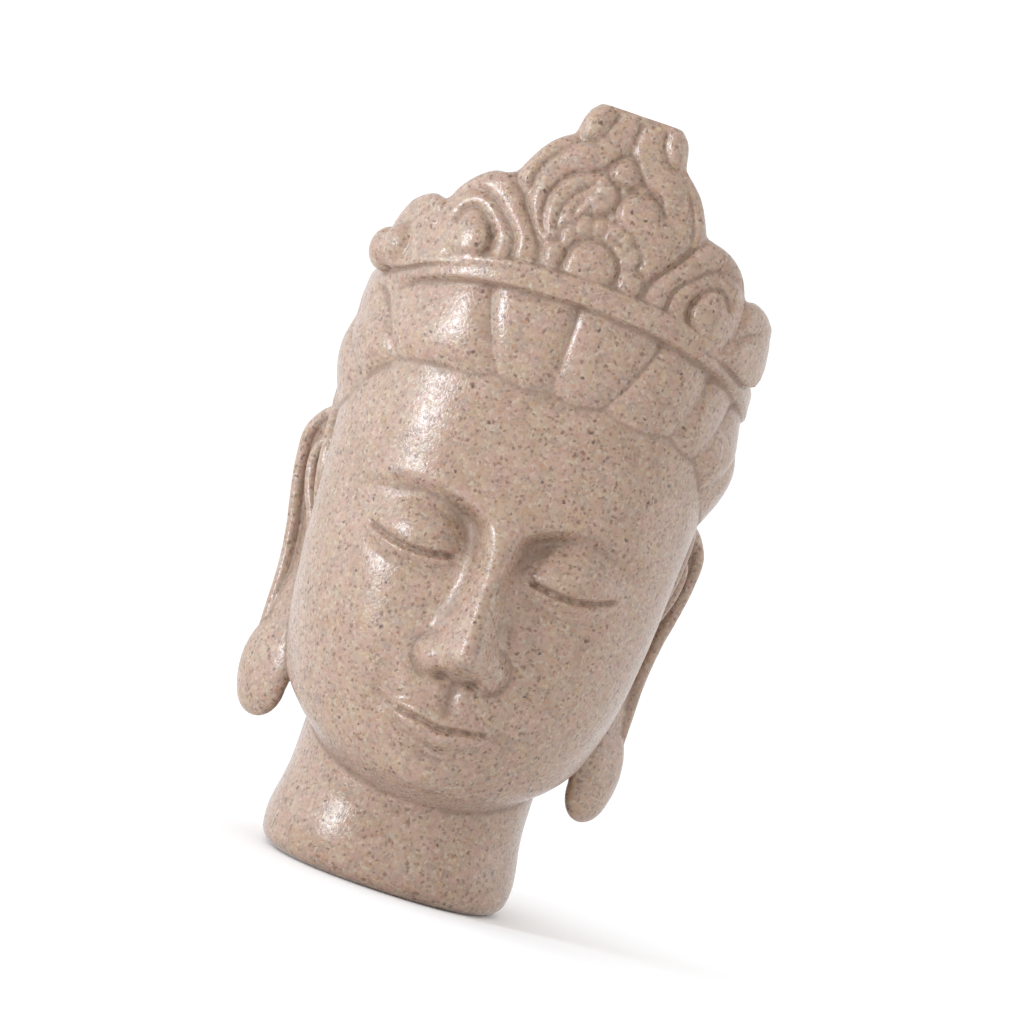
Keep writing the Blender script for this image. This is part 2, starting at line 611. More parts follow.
def laid_rolls(name, rolls):
    """The mesh of round-ended rolls along paths of (x, y, z, thickness)."""
    paths = [round_ended(smooth_path(roll)) for roll in rolls]
    points = np.concatenate(paths)
    starts = np.cumsum([0] + [len(path) for path in paths])
    edges = [(i, i + 1) for a, b in zip(starts, starts[1:]) for i in range(a, b - 1)]
    mesh = bpy.data.meshes.new(name)
    mesh.from_pydata((points[:, :3] * METRE).tolist(), edges, [])
    carry(mesh, "thickness", points[:, 3] * METRE)
    return grown(name, mesh, roll_tree, {"Fullness": 1.0, "Sides": 14, "Resin": resin})


# Lumps set on points: each point carries its radii and its turn
boss_tree, given = start_tree("lumps_on_points", {"Around": "Int", "Rings": "Int", "Resin": "Material"})
lump = node(boss_tree, "GeometryNodeMeshUVSphere", values={
    "Segments": given["Around"], "Rings": given["Rings"], "Radius": 1.0})
radii, turned = (node(boss_tree, "GeometryNodeInputNamedAttribute", {"data_type": "FLOAT_VECTOR"}, {
    "Name": name}) for name in ("radii", "turned"))
set_out = node(boss_tree, "GeometryNodeInstanceOnPoints", values={
    "Points": given["Points"], "Instance": lump.outputs["Mesh"], "Rotation": turned.outputs[0],
    "Scale": radii.outputs[0]})
end_tree(boss_tree, set_out.outputs[0], given["Resin"])


def set_lumps(name, lumps):
    """The mesh of egg-shaped lumps, each (middle, radii, (turn about x, y, z))."""
    middles, radii, turns = (np.array(each, float) for each in zip(*lumps))
    mesh = clay(name, middles, [])
    carry(mesh, "radii", METRE * radii)
    carry(mesh, "turned", turns)
    return grown(name, mesh, boss_tree, {"Around": 40, "Rings": 24, "Resin": resin})


knot_ball = set_lumps("knot_ball", [(KNOT_MIDDLE, KNOT_RADII, (0.0, 0.0, 0.0))])
knot_tie = laid_rolls("knot_tie", [[
    (KNOT_MIDDLE[0] + KNOT_RADII[0] * math.sin(t), KNOT_MIDDLE[1] - KNOT_RADII[1] * math.cos(t),
     KNOT_MIDDLE[2] + KNOT_TIE_RISE, KNOT_TIE_THICKNESS)
    for t in np.linspace(KNOT_TIE_START, 2 * math.pi - KNOT_TIE_START, 14)]])


# The crown. A plate stands on the headband, follows the head round from ear to ear and leans back.
# Its front is carved in low relief: broad rounded bands with narrow grooves between them, which make
# a middle plaque with two stems and a rosette, a volute at each side of it, and a leaf at each end.
CROWN_DEPTH = 37.6
CROWN_HALF = 40.0
CROWN_SQUARENESS = 2.3
CROWN_LEAN = 0.16
CROWN_BASE = 114.0
CROWN_THICKNESS = 8.0
CROWN_REACH = 37.8
CROWN_RELIEF = 2.0
CROWN_EDGE_ROUNDING = 2.2
CROWN_DOME_ROUNDNESS = 0.75
CROWN_BACK_SHARE = 0.88
CROWN_FOOT = through([(0, 116.6), (12, 116.2), (16.7, 115.4), (28.3, 112.8), (33.9, 110.6),
                      (35.6, 110.3), (36.9, 111.4), (37.8, 114.2)])
CROWN_TOP_MIDDLE = [(0, 151), (6.6, 150.8), (8.6, 149.3), (9.8, 147.4), (10.3, 145.4), (10.5, 144.0)]
CROWN_TOP_LEFT = through(CROWN_TOP_MIDDLE + [
    (10.9, 143.3), (11.5, 142.9), (13.0, 141.9), (15.2, 139.6), (17.2, 136.2), (18.4, 133.9), (20.0, 132.9),
    (22.2, 132.6), (24.4, 131.3), (26.2, 129.6), (27.8, 127.4), (29.0, 125.3), (31.2, 125.6), (33.7, 124.6),
    (35.6, 122.4), (36.9, 118.6), (37.8, 113.4)])
CROWN_TOP_RIGHT = through(CROWN_TOP_MIDDLE + [
    (10.9, 143.2), (11.5, 142.7), (13.0, 141.4), (15.3, 138.9), (16.9, 136.0), (18.0, 133.7), (19.6, 132.8),
    (21.8, 132.3), (24.2, 131.3), (26.2, 129.8), (27.8, 127.7), (29.1, 125.2), (31.1, 125.2), (33.3, 124.6),
    (35.3, 123.2), (36.8, 121.0), (37.8, 115.5)])
# Each groove as (depth, width of its shoulders) and a path of (x, z) as seen from the front. The middle
# plaque's two halves differ.
PLAQUE_GROOVES = {
    "left rim and stem": ((1.8, 1.8), (
        (-10.2, 144.2), (-9.6, 142.2), (-11.8, 139.5), (-13.8, 137.2), (-14.8, 134.6), (-15.2, 132.0),
        (-15.3, 129.6), (-14.9, 127.6))),
    "left knob and stem": ((1.7, 1.9), ((-4.3, 148.2), (-4.9, 146.2), (-6.1, 143.7), (-9.6, 142.2))),
    "parting of the stems": ((1.5, 1.7), ((0.3, 148.0), (0.2, 145.4), (0.2, 142.7))),
    "left stem and ribbon": ((1.9, 1.6), (
        (0.2, 142.7), (-1.4, 141.4), (-2.6, 139.6), (-3.9, 138.2), (-6.2, 137.2), (-8.2, 136.4),
        (-9.8, 135.0), (-10.9, 133.4), (-11.7, 131.4), (-11.9, 129.2), (-11.7, 126.8), (-10.6, 124.2))),
    "right stem and bud": ((1.9, 1.6), (
        (0.2, 142.7), (1.5, 141.6), (2.8, 139.9), (4.2, 138.1), (6.4, 137.0), (8.2, 135.8))),
    "right stem and rim": ((1.8, 1.8), (
        (10.2, 144.2), (10.2, 142.2), (12.1, 139.8), (13.6, 137.4), (14.7, 135.0), (15.5, 132.2),
        (15.6, 129.3), (14.9, 127.0))),
    "right knob and stem": ((1.7, 1.9), ((5.2, 148.2), (5.7, 145.6), (7.2, 143.4), (10.2, 142.2))),
    "ribbon and inner ribbon": ((1.6, 1.3), (
        (-4.3, 135.6), (-6.0, 134.0), (-7.4, 132.2), (-8.5, 130.2), (-8.9, 127.8), (-8.7, 125.3))),
    "inner rib": ((1.3, 1.2), ((-3.9, 134.2), (-5.3, 132.4), (-6.2, 130.4), (-6.5, 128.6))),
    "round the left curl": ((1.8, 1.3), (
        (-2.4, 137.3), (-0.7, 136.6), (0.4, 134.9), (0.5, 132.8), (-0.2, 131.0), (-1.7, 130.0),
        (-3.3, 130.2), (-3.9, 131.4))),
    "round the bead": ((1.7, 1.3), (
        (-2.7, 139.3), (-2.4, 137.7), (-1.2, 136.6), (0.6, 136.2), (2.4, 136.6), (3.6, 137.9))),
    "round the right swell": ((2.1, 1.5), (
        (1.4, 129.6), (0.7, 131.6), (0.8, 133.8), (1.9, 135.6), (3.9, 136.5), (6.1, 136.6), (8.0, 135.6),
        (9.4, 133.9))),
    "rosette": ((2.1, 1.2), (
        (-5.5, 117.6), (-5.8, 120.2), (-5.2, 122.6), (-3.9, 124.4), (-2.0, 125.5), (0.0, 125.7),
        (2.1, 124.8), (3.7, 123.0), (4.4, 120.8), (4.3, 117.8))),
    "petals": ((1.9, 1.1), (
        (-10.1, 118.4), (-10.2, 121.0), (-9.2, 122.9), (-7.7, 123.5), (-7.8, 125.4), (-6.9, 127.0),
        (-5.9, 127.4), (-5.1, 128.8), (-3.5, 129.7), (-2.6, 129.5), (-1.1, 130.5), (0.3, 129.8),
        (1.9, 130.2), (3.3, 129.1), (4.9, 128.7), (6.1, 127.0), (7.3, 126.1), (7.9, 124.4),
        (7.4, 123.1), (9.0, 122.3), (9.6, 120.4), (9.4, 118.2))),
}
# The partings of the rosette's petals, each from its outer end to its root
PETAL_PARTING = (1.1, 0.8)
PETAL_PARTINGS = (
    ((-7.6, 123.3), (-5.6, 122.7)), ((-5.8, 127.0), (-4.3, 124.7)), ((-2.6, 129.2), (-2.2, 125.9)),
    ((0.3, 129.4), (-0.1, 126.0)), ((3.2, 128.8), (2.1, 125.4)), ((6.0, 126.3), (3.9, 123.8)),
    ((7.2, 122.9), (4.6, 122.0)))
# The right volute, which the left one mirrors
VOLUTE_GROOVES = {
    "plaque": ((2.4, 2.0), (
        (18.4, 134.4), (18.0, 131.8), (16.5, 130.1), (15.2, 128.1), (13.5, 125.7), (12.0, 123.7),
        (10.6, 121.6), (9.9, 119.6), (9.8, 117.6))),
    "outer ring": ((1.9, 1.7), (
        (14.9, 116.8), (14.9, 119.4), (15.3, 121.6), (16.3, 123.1), (17.8, 124.5), (19.3, 126.0),
        (21.0, 127.4), (22.4, 128.0), (23.8, 128.2), (25.3, 128.0), (26.7, 127.3), (27.8, 126.4),
        (28.6, 125.2))),
    "inner ring": ((1.8, 2.0), (
        (26.3, 121.8), (25.6, 123.1), (24.7, 124.2), (23.5, 124.8), (22.0, 124.4), (20.8, 123.3),
        (19.7, 122.0), (19.1, 120.4), (18.9, 118.9), (19.3, 117.6), (20.7, 116.5), (23.0, 115.4),
        (25.4, 115.0))),
    "inner ring's deep foot": ((2.8, 1.6), ((20.0, 122.0), (19.2, 120.4), (19.0, 118.9), (19.3, 117.8))),
    "inner ring's deep tip": ((2.6, 1.4), ((26.3, 121.8), (25.7, 122.9), (25.0, 123.8))),
}
LEAF_GROOVES = {
    "right root": ((1.5, 2.2), (
        (28.9, 126.4), (29.0, 124.2), (29.2, 122.0), (29.3, 119.8), (28.9, 117.8), (27.9, 115.6),
        (26.8, 113.6))),
    "left root": ((1.2, 2.2), ((-28.9, 126.4), (-29.0, 124.2), (-29.2, 122.6))),
    "right lobes": ((1.9, 1.9), (
        (29.6, 117.0), (31.1, 118.6), (32.7, 119.6), (34.4, 120.2), (37.2, 120.2))),
    "left upper rib": ((0.6, 2.4), ((-32.8, 125.2), (-30.6, 122.2), (-28.9, 119.4))),
    "left lower rib": ((1.0, 2.0), ((-36.0, 122.0), (-33.3, 119.5), (-31.0, 118.3), (-28.7, 116.6))),
    "left ball": ((0.6, 2.4), (
        (-37.6, 118.4), (-35.4, 118.0), (-34.0, 116.0), (-33.6, 113.4), (-34.4, 110.6))),
}
# Domes on the bands as a middle (x, z), radii and a height
CROWN_DOMES = {
    "left knob": ((-7.6, 146.6), (4.2, 4.6), 0.7),
    "right knob": ((7.8, 146.6), (4.2, 4.6), 0.7),
    "left stem": ((-8.6, 139.4), (3.6, 3.6), 0.5),
    "right stem": ((8.9, 139.4), (3.8, 3.6), 0.6),
    "bead": ((0.5, 138.9), (3.2, 2.6), 0.9),
    "left curl": ((-2.4, 133.6), (3.2, 3.8), 0.6),
    "right swell": ((5.0, 132.0), (5.6, 5.6), 1.1),
    "right ribbon": ((9.2, 128.9), (3.8, 4.8), 0.7),
    "rosette": ((-0.7, 121.4), (5.0, 4.6), 1.2),
    "bead at the left foot": ((-8.1, 120.9), (2.3, 2.6), 0.7),
    "bead at the right foot": ((7.3, 120.3), (2.3, 2.6), 0.7),
    "right volute's eye": ((23.6, 119.8), (4.3, 4.7), 1.3),
    "left volute's eye": ((-23.6, 119.8), (4.3, 4.7), 1.3),
    "right leaf's upper lobe": ((32.6, 122.2), (4.4, 3.2), 0.7),
    "right leaf's lower lobe": ((33.4, 115.4), (4.2, 4.6), 0.8),
    "left leaf's upper rib": ((-30.4, 123.6), (2.8, 3.4), 0.4),
    "left leaf's middle rib": ((-32.6, 121.0), (3.4, 3.4), 0.4),
}
# The ball under the left leaf and its root: (x, z, how far out from the plate) and radii
LEAF_BALL_MIDDLE = (-36.4, 113.4, -0.4)
LEAF_BALL_RADII = (3.6, 4.2, 4.3)
LEAF_BALL_ROOT = (-33.6, 114.6, -0.9)
LEAF_BALL_ROOT_RADII = (4.2, 3.4, 4.6)


def on_crown(x, z, proud=0.0):
    """Places on the crown's front, which is part of a rounded square that leans back."""
    share = np.minimum(np.abs(x) / CROWN_HALF, 0.995)
    round_out = (1 - share ** CROWN_SQUARENESS) ** (1 / CROWN_SQUARENESS)
    return x, -(CROWN_DEPTH * round_out - CROWN_LEAN * (z - CROWN_BASE) + proud), z


def crown_relief(x, z):
    """How far the carving stands out: bands rounded off into the grooves, domes on them, all softened."""
    mirrored = [(shape, [(-a, b) for a, b in path]) for shape, path in VOLUTE_GROOVES.values()]
    partings = [(PETAL_PARTING, path) for path in PETAL_PARTINGS]
    cubes = np.zeros_like(x)
    for (depth, width), path in (*PLAQUE_GROOVES.values(), *partings, *VOLUTE_GROOVES.values(), *mirrored,
                                 *LEAF_GROOVES.values()):
        cubes += (depth * groove_profile(from_path(path, x, z), width)) ** 3
    domes = np.zeros_like(x)
    for (x_middle, z_middle), (half_width, half_height), height in CROWN_DOMES.values():
        away = ((x - x_middle) / half_width) ** 2 + ((z - z_middle) / half_height) ** 2
        domes = np.maximum(domes, height * np.clip(1 - away, 0, 1) ** CROWN_DOME_ROUNDNESS)
    relief = np.pad(CROWN_RELIEF - np.cbrt(cubes) + domes, 1, mode="edge")
    return (relief[:-2, 1:-1] + relief[2:, 1:-1] + relief[1:-1, :-2] + relief[1:-1, 2:]) / 4


def crown_plate(columns=460, rows=170):
    """The carved plate, rounded at its edges and closed behind."""
    x = CROWN_REACH * np.sin(np.pi * (np.arange(columns + 1) / columns - 0.5))
    low = CROWN_FOOT(np.abs(x))
    high = np.where(x < 0, CROWN_TOP_LEFT(-x), CROWN_TOP_RIGHT(x))
    x = np.repeat(x[:, None], rows + 1, axis=1)
    z = low[:, None] + (high - low)[:, None] * np.linspace(0, 1, rows + 1)
    outline = [(x[0, 0], low[0]), *zip(x[::6, 0], high[::6]), (x[-1, 0], low[-1])]
    turned_back = CROWN_EDGE_ROUNDING * groove_profile(from_path(outline, x, z), CROWN_EDGE_ROUNDING)
    front = np.stack(on_crown(x, z, crown_relief(x, z) - turned_back), axis=-1).reshape(-1, 3)
    rear = np.stack(on_crown(x, z), axis=-1).reshape(-1, 3)
    rear = rear * (CROWN_BACK_SHARE, 1, 1) + (0, CROWN_THICKNESS, 0)
    tall, skin = rows + 1, len(front)
    faces = []
    for i in range(columns):
        for j in range(rows):
            a = i * tall + j
            faces.append((a, a + tall, a + tall + 1, a + 1))
            faces.append((skin + a, skin + a + 1, skin + a + tall + 1, skin + a + tall))
    edge = [i * tall for i in range(columns + 1)]
    edge += [columns * tall + j for j in range(1, tall)]
    edge += [i * tall + rows for i in range(columns - 1, -1, -1)]
    edge += [j for j in range(rows - 1, 0, -1)]
    faces += [(b, a, skin + a, skin + b) for a, b in zip(edge, edge[1:] + edge[:1])]
    return clay("crown_plate", np.concatenate([front, rear]), faces)


crown_front = crown_plate()
crown_ball = set_lumps("leaf_ball", [(on_crown(*LEAF_BALL_MIDDLE), LEAF_BALL_RADII, (0.0, 0.0, 0.0)),
                                     (on_crown(*LEAF_BALL_ROOT), LEAF_BALL_ROOT_RADII, (0.0, 0.0, 0.0))])


# The ears. Each is long and flared from the head, with its front edge laid on the cheek: a hollow
# blade with a rolled rim, an inner fold and a front flap, and below them a broad flat lobe that
# hangs like a paddle.
EAR_FLARE = math.radians(37)
# The ears lie between these degrees from the front
EAR_ANGLES = (55, 131)
EAR_RIM_THICKNESS = 1.4
EAR_LIFT = 0.7
EAR_FILLET = 1.5
EAR_RIM_Y = through([(20, 5.6), (34, 6.2), (44, 7.0), (54, 8.0), (64, 8.9), (73, 9.2), (84, 8.2)])
EAR_EDGE = through([(21.6, 33.0), (22.4, 35.0), (24.9, 37.8), (30, 38.9), (35, 38.7), (40, 38.1),
                    (45, 37.8), (52, 37.8), (58.6, 38.6), (65.3, 40.0), (71, 40.9), (75.7, 41.3),
                    (79.5, 40.6), (82, 38.9), (83.6, 36.6)])
EAR_WIDTH = through([(21.6, 6), (25, 11.5), (31, 13), (38, 12), (46, 12), (54, 14), (62, 16.5),
                     (72, 18), (78, 15.5), (83.3, 8)])
EAR_THICKNESS = through([(26, 2.8), (38, 2.6), (52, 2.1), (84, 2.1)])
EAR_HOLLOW = through([(26, 1.2), (40, 1.3), (54, 1.9), (84, 1.8)])
EAR_BLADE_HEIGHTS = (80.8, 77, 71, 64, 58, 52, 46, 40, 35, 30)
# The blade's middle and half-width as shares of the ear's width
BLADE_MIDDLE = 0.47
BLADE_HALF = 0.46
# Paths of (height, inward from the rim, out from the blade, thickness)
EAR_RIM = ((60, 12.0, -0.9, 1.0), (64, 13.6, 0.0, 1.3), (70, 15.2, 0.2, 1.5), (76.5, 13.4, 0.2, 1.5),
           (80.6, 9.0, 0.1, 1.5), (82.0, 4.6, 0.0, 1.4), (80.6, 1.4, 0.0, 1.4), (77.4, 0.3, 0.0, 1.4),
           (72, 0.0, 0.0, 1.4), (66, 0.0, 0.0, 1.4), (58, 0.0, 0.0, 1.4), (50, 0.2, 0.0, 1.4),
           (43, 0.4, -0.2, 1.4), (37, 0.8, -0.7, 1.3), (31, 1.6, -1.4, 1.2))
EAR_FOLD = ((77.4, 6.4, -0.6, 0.9), (74.6, 4.8, 0.1, 1.2), (70.5, 4.2, 0.3, 1.3), (66.4, 4.8, 0.3, 1.3),
            (62.0, 6.2, 0.2, 1.3), (57.0, 7.2, 0.0, 1.3), (52.6, 7.0, -0.2, 1.3), (49, 8.4, -0.6, 1.1))
EAR_FLAP = ((66.0, 10.6, -0.7, 1.0), (64.4, 11.0, 0.0, 1.5), (61.0, 11.2, 0.3, 1.7), (57.0, 11.4, 0.2, 1.6),
            (52.0, 10.6, -0.2, 1.5), (46, 9.6, -0.6, 1.3), (40, 9.0, -1.0, 1.2))
# Each lobe is two lumps, the lower one to fill its foot out: a place on the ear, and radii
LOBES = (((31.6, 5.0, -1.3), (7.7, 3.1, 9.8)), ((28.0, 5.2, -1.3), (6.9, 2.9, 6.4)))


def head_side(y, z):
    """How far out the side of the head stands at each place."""
    degrees = np.arange(*EAR_ANGLES)
    angle = np.broadcast_to(np.radians(degrees), (len(y), len(degrees)))
    z = np.broadcast_to(z[:, None], angle.shape)
    radius = skull_radius(angle, z)
    radius = radius + hair_relief(angle, radius * np.sin(angle), z) * dome_share(angle, z)
    rows = zip(y, -radius * np.cos(angle), radius * np.sin(angle))
    return np.array([np.interp(place, deep, out) for place, deep, out in rows])


def on_ear(side, z, inward, out):
    """Places on the ear: inward from its rim, and out from its face, which lies on the head in front."""
    z, inward, out = (np.atleast_1d(np.asarray(given, float)) for given in (z, inward, out))
    x = EAR_EDGE(z) - EAR_RIM_THICKNESS - inward * math.sin(EAR_FLARE) + out * math.cos(EAR_FLARE)
    y = EAR_RIM_Y(z) - inward * math.cos(EAR_FLARE) - out * math.sin(EAR_FLARE)
    x = blend_max(x, head_side(y, z) + EAR_LIFT + out, EAR_FILLET)
    return np.stack([side * x, y, z], axis=-1)


def ear_blade(side, sides=20):
    """A flattened roll in the ear's face, from its top to its lobe."""
    z = smooth_path([(height, 0, 0) for height in EAR_BLADE_HEIGHTS])[:, 0]
    z, turn = (grid.ravel() for grid in np.meshgrid(z, 2 * np.pi * np.arange(sides) / sides, indexing="ij"))
    inward = EAR_WIDTH(z) * (BLADE_MIDDLE - BLADE_HALF * np.cos(side * turn))
    points = on_ear(side, z, inward, EAR_THICKNESS(z) * np.sin(side * turn) - EAR_HOLLOW(z))
    n = len(points) // sides
    faces = [(j * sides + (i + 1) % sides, j * sides + i, (j + 1) * sides + i,
              (j + 1) * sides + (i + 1) % sides) for j in range(n - 1) for i in range(sides)]
    faces += [tuple(range(sides)), tuple((n - 1) * sides + i for i in range(sides - 1, -1, -1))]
    return clay("ear_blade", points, faces)


def ear_roll(side, roll):
    """A roll's path with its thickness, laid on the ear."""
    z, inward, out, thickness = np.array(roll).T
    return [(*place, thick) for place, thick in zip(on_ear(side, z, inward, out), thickness)]


ears = [ear_blade(side) for side in (-1, 1)]
ears.append(laid_rolls("ear_rolls", [ear_roll(side, roll) for side in (-1, 1)
                                     for roll in (EAR_RIM, EAR_FOLD, EAR_FLAP)]))
ears.append(set_lumps("ear_lobes", [
    (on_ear(side, *middle)[0], radii, (0.0, 0.0, side * (math.pi / 2 - EAR_FLARE)))
    for side in (-1, 1) for middle, radii in LOBES]))


# The casting. The clay pieces become one body, as the mould has them, thinned where the form is
# plain, and cut flat under the neck and on top of the crown. A map of its hollows is kept on its
# points, because sand gathers and the varnish dulls there.
CLAY_VOXEL = 0.4
MOST_TRIANGLES = 190000
CLEARANCE = 0.02
HOLLOW_REACH = 16
HOLLOW_DEPTH = 0.35

merged = bmesh.new()
for piece in (skin, knot_ball, knot_tie, knot_locks, crown_front, crown_ball, *ears):
    merged.from_mesh(piece)
bmesh.ops.recalc_face_normals(merged, faces=merged.faces)
cast = bpy.data.meshes.new("buddha_head_casting")
merged.to_mesh(cast)
merged.free()
casting = placed("buddha_head_casting", cast)


def applied(piece):
    """Puts what a piece's modifiers make in the place of its mesh, and counts its triangles."""
    form = evaluated(piece)
    piece.modifiers.clear()
    piece.data = form
    return len(form.loops) - 2 * len(form.polygons)


fuse = casting.modifiers.new("fuse", "REMESH")
fuse.mode = "VOXEL"
fuse.voxel_size = METRE * CLAY_VOXEL
triangles = applied(casting)
thin = casting.modifiers.new("thin", "DECIMATE")
thin.ratio = MOST_TRIANGLES / triangles
applied(casting)

trimmed = bmesh.new()
trimmed.from_mesh(casting.data)
for height, way in ((0.0, -1), (METRE * HEAD_HEIGHT, 1)):
    everything = trimmed.verts[:] + trimmed.edges[:] + trimmed.faces[:]
    bmesh.ops.bisect_plane(trimmed, geom=everything, dist=1e-7, plane_co=(0, 0, height),
                           plane_no=(0, 0, way), clear_outer=True)
    rim = [edge for edge in trimmed.edges if edge.is_boundary]
    bmesh.ops.edgeloop_fill(trimmed, edges=rim)

# The CAD's box holds the casting: a side that would stand out is drawn in, with a hair to spare
low, high = cad_box
spare = METRE * CLEARANCE
for axis in (0, 1):
    reach = max(v.co[axis] for v in trimmed.verts)
    back = min(v.co[axis] for v in trimmed.verts)
    for v in trimmed.verts:
        room = (high[axis] - spare) / reach if v.co[axis] > 0 else (low[axis] + spare) / back
        v.co[axis] *= min(room, 1.0)
bmesh.ops.recalc_face_normals(trimmed, faces=trimmed.faces)
trimmed.to_mesh(casting.data)
trimmed.free()

# How far each point is sunk below its surroundings, from 0 on a ridge to 1 in a groove
points = np.empty(3 * len(casting.data.vertices), np.float32)
casting.data.vertices.foreach_get("co", points)
points = points.reshape(-1, 3).astype(float)
ends = np.empty(2 * len(casting.data.edges), np.int32)
casting.data.edges.foreach_get("vertices", ends)
one, other = ends.reshape(-1, 2).T
neighbours = np.bincount(one, minlength=len(points)) + np.bincount(other, minlength=len(points))
smooth = points.copy()
for _ in range(HOLLOW_REACH):
    total = np.stack([np.bincount(one, smooth[other, k], len(points))
                      + np.bincount(other, smooth[one, k], len(points)) for k in range(3)], axis=-1)
    smooth = total / neighbours[:, None]
normals = np.array([v.normal for v in casting.data.vertices])
sunk = np.einsum("ij,ij->i", smooth - points, normals) / METRE
carry(casting.data, "hollow", np.clip(0.5 + 0.5 * sunk / HOLLOW_DEPTH, 0, 1))


# The resin. Polyester is filled with quartz sand of many colours, poured, demoulded and varnished:
# a pinkish beige ground, dense fine cream, orange and grey grains, fewer dark specks, and a glossy
# surface that the grains keep from being quite smooth.
GROUND_PINK = (0.345, 0.222, 0.176, 1.0)
GROUND_BEIGE = (0.328, 0.233, 0.167, 1.0)
GROUND_GREY = (0.258, 0.202, 0.168, 1.0)
GROUND_OCHRE = (0.352, 0.237, 0.141, 1.0)
GROUND_BROWN = (0.270, 0.173, 0.117, 1.0)
GRAIN_CREAM = (0.43, 0.36, 0.27, 1.0)
GRAIN_ORANGE = (0.28, 0.135, 0.068, 1.0)
GRAIN_BROWN = (0.135, 0.068, 0.044, 1.0)
GRAIN_GREY = (0.165, 0.116, 0.092, 1.0)
GRAIN_DARK = (0.066, 0.036, 0.026, 1.0)
HOLLOW_TINT = (0.17, 0.105, 0.072, 1.0)
SHEEN_TINT = (0.86, 0.90, 1.0, 1.0)
# Mottles over the ground: colour, waves to the metre, roughness, seed, where they start and are full,
# and strength
MOTTLES = (
    (GROUND_GREY, 430.0, 0.6, 3.1, (0.50, 0.66), 0.60),
    (GROUND_OCHRE, 520.0, 0.6, 7.7, (0.54, 0.68), 0.65),
    (GROUND_BROWN, 95.0, 0.5, 12.4, (0.50, 0.68), 0.40))
# Specks over the fine sand: colour, grains to the metre, seed, share of the grains, and strength
SPECKS = (
    (GRAIN_CREAM, 1100.0, 0.13, 0.04, 0.40),
    (GRAIN_ORANGE, 900.0, 0.37, 0.17, 0.50),
    (GRAIN_BROWN, 1200.0, 0.71, 0.24, 0.72),
    (GRAIN_BROWN, 880.0, 0.53, 0.06, 0.75),
    (GRAIN_DARK, 1050.0, 0.93, 0.025, 0.9))
# The fine sand's grains to the metre, and its colours by each grain's random number
SAND_GRAINS = 1500.0
SAND_COLOURS = [
    (0.0, GRAIN_CREAM), (0.12, GRAIN_CREAM), (0.22, GROUND_OCHRE), (0.44, GROUND_PINK),
    (0.56, GRAIN_ORANGE), (0.66, GRAIN_ORANGE), (0.74, GRAIN_GREY), (1.0, GRAIN_BROWN)]
STIR = 0.9
STIR_WAVES = 1250.0
BUMP_HEIGHT = 0.13
# Where a grain's colour starts to fade and ends, as a share of the way to the next grain
SAND_EDGE = (0.20, 0.75)
SPECK_EDGE = (0.16, 0.56)
# How strongly the sand shows between its grains' middles, and how much more there
SAND_LEAST = 0.12
SAND_MORE = 0.34
HOLLOW_STRENGTH = 0.58
# The varnish's roughness, and how much unevenness, sand grains and hollows add to it
VARNISH_ROUGHNESS = 0.18
UNEVEN_ROUGHNESS = 0.14
GRAIN_ROUGHNESS = 0.08
HOLLOW_ROUGHNESS = 0.22


class Signal:
    """A number, vector or colour that varies over the resin. Sums of numbers add their Math nodes."""

    def __init__(self, tree, socket):
        self.tree, self.socket = tree, socket

    def make(self, kind, settings=None, values=None, output=0):
        """Any other node: its settings or a ramp's stops, then its sockets from values or signals."""
        settings = dict(settings or {})
        stops = settings.pop("stops", None)
        sockets = {name: value.socket if isinstance(value, Signal) else value
                   for name, value in (values or {}).items()}
        made = node(self.tree, kind, settings, sockets)
        if stops:
            elements = made.color_ramp.elements
            while len(elements) < len(stops):
                elements.new(0.5)
            for element, (at, colour) in zip(elements, stops):
                element.position, element.color = at, colour
        return Signal(self.tree, made.outputs[output])

    def math(self, operation, *values):
        """A Math node on these numbers or signals."""
        return self.make("ShaderNodeMath", {"operation": operation}, dict(enumerate(values)))

    def __add__(self, other):
        return self.math("ADD", self, other)

    def __sub__(self, other):
        return self.math("SUBTRACT", self, other)

    def __mul__(self, other):
        return self.math("MULTIPLY", self, other)

    def __rsub__(self, other):
        return self.math("SUBTRACT", other, self)

    __radd__ = __add__
    __rmul__ = __mul__

    def between(self, low, high):
        """0 below low, 1 above high."""
        return self.make("ShaderNodeMapRange", {"interpolation_type": "SMOOTHSTEP"},
                         {"Value": self, "From Min": low, "From Max": high})

    def mixed(self, first, second):
        """From the first colour to the second as this signal goes from 0 to 1."""
        return self.make("ShaderNodeMix", {"data_type": "RGBA"}, {0: self, 6: first, 7: second}, 2)


def coated(material, values):
    """The Principled shader of a material, with these values in its sockets."""
    material.use_nodes = True
    principled = material.node_tree.nodes["Principled BSDF"]
    for name, value in values.items():
        principled.inputs[name].default_value = value
    return principled


shader = coated(resin, {"Metallic": 0.0, "IOR": 1.55, "Sheen Weight": 0.14, "Sheen Roughness": 0.35,
                        "Sheen Tint": SHEEN_TINT})
place = Signal(resin.node_tree, resin.node_tree.nodes.new("ShaderNodeTexCoord").outputs["Object"])
hollow_map = place.make("ShaderNodeAttribute", {"attribute_name": "hollow"}, output="Fac")


def vector_math(operation, first, values):
    """A Vector Math node on this vector and the given values."""
    return place.make("ShaderNodeVectorMath", {"operation": operation}, {0: first, **values})


# Grains aren't round: the place is stirred by less than a grain before a pattern is looked up
swirl = place.make("ShaderNodeTexNoise", {"noise_dimensions": "3D"}, {
    "Vector": place, "Scale": STIR_WAVES, "Detail": 1.0}, "Color")
swirl = vector_math("SUBTRACT", swirl, {1: (0.5, 0.5, 0.5)})
swirl = vector_math("SCALE", swirl, {"Scale": METRE * STIR})
stirred = vector_math("ADD", place, {1: swirl})


